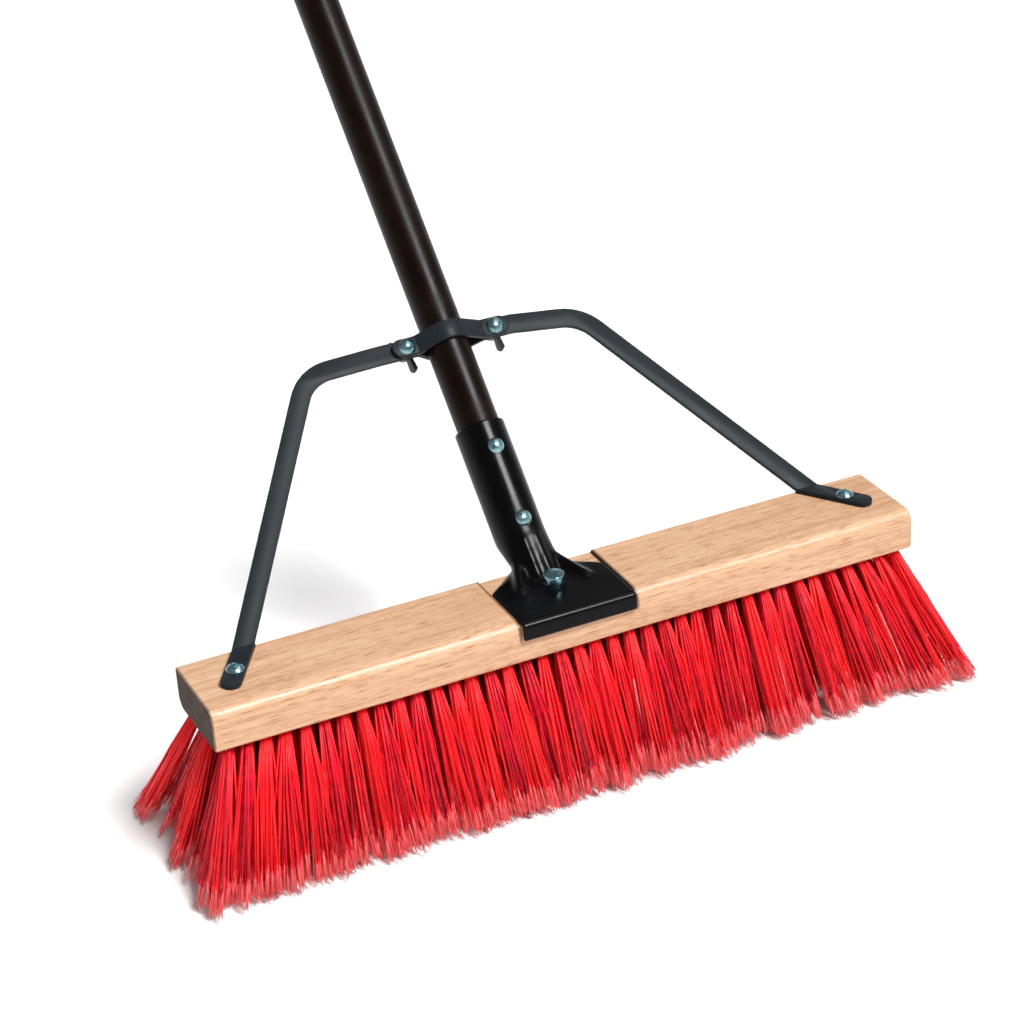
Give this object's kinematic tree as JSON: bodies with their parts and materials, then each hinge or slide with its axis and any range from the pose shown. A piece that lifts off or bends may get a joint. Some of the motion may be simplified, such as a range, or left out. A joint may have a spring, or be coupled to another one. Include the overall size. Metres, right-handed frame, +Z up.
{
  "type": "push broom",
  "caption": "Push broom with a wooden head, stiff red bristles, a long tubular handle in a steel socket bracket, and a flat-bar brace clamped to the handle.",
  "frame": {"origin": "floor plane of the bristle tips, straight below the middle of the head block", "axes": "+X along the head to the right seen from the front, -Y to the front of the head, +Y to the side the handle leans to, +Z up"},
  "size_m": [0.5142, 1.2282, 1.239],
  "materials": {
    "varnished_wood": "satin varnish",
    "red_bristle": "coarse straight filaments with pink flagged tips",
    "staple_wire": "drawn wire",
    "black_enamel": "gloss",
    "handle_coat": "semi-gloss",
    "brace_coat": "satin",
    "zinc_steel": "bright zinc",
    "black_zinc": "dull black zinc plating",
    "black_plastic": "satin"
  },
  "bodies": {
    "broom": {"head_block": "varnished_wood", "tufts_front": "red_bristle", "tufts_mid_front": "red_bristle", "tufts_middle": "red_bristle", "tufts_mid_back": "red_bristle", "tufts_back": "red_bristle", "tuft_staples": "staple_wire", "socket_bracket": "black_enamel", "base_bolt": "zinc_steel", "base_washer": "zinc_steel", "tee_nut": "zinc_steel", "socket_rivet_lower": "zinc_steel", "socket_rivet_upper": "zinc_steel", "handle_tube": "handle_coat", "handle_cap": "black_plastic", "brace_bow": "brace_coat", "clamp_strap": "brace_coat", "clamp_bolt_left": "zinc_steel", "clamp_bolt_right": "zinc_steel", "foot_screw_left": "zinc_steel", "foot_screw_right": "zinc_steel"},
    "wing_nut_left": {"wing_nut_left": "black_zinc"},
    "wing_nut_right": {"wing_nut_right": "black_zinc"}
  },
  "joints": [
    {"name": "wing_nut_left_turn", "type": "hinge", "parent": "broom", "child": "wing_nut_left", "pos_m": [-0.0263, 0.14421, 0.21303], "axis": [0, 0.6611, -0.7503], "continuous": true},
    {"name": "wing_nut_right_turn", "type": "hinge", "parent": "broom", "child": "wing_nut_right", "pos_m": [0.033, 0.14421, 0.21303], "axis": [0, 0.6611, -0.7503], "continuous": true}
  ]
}
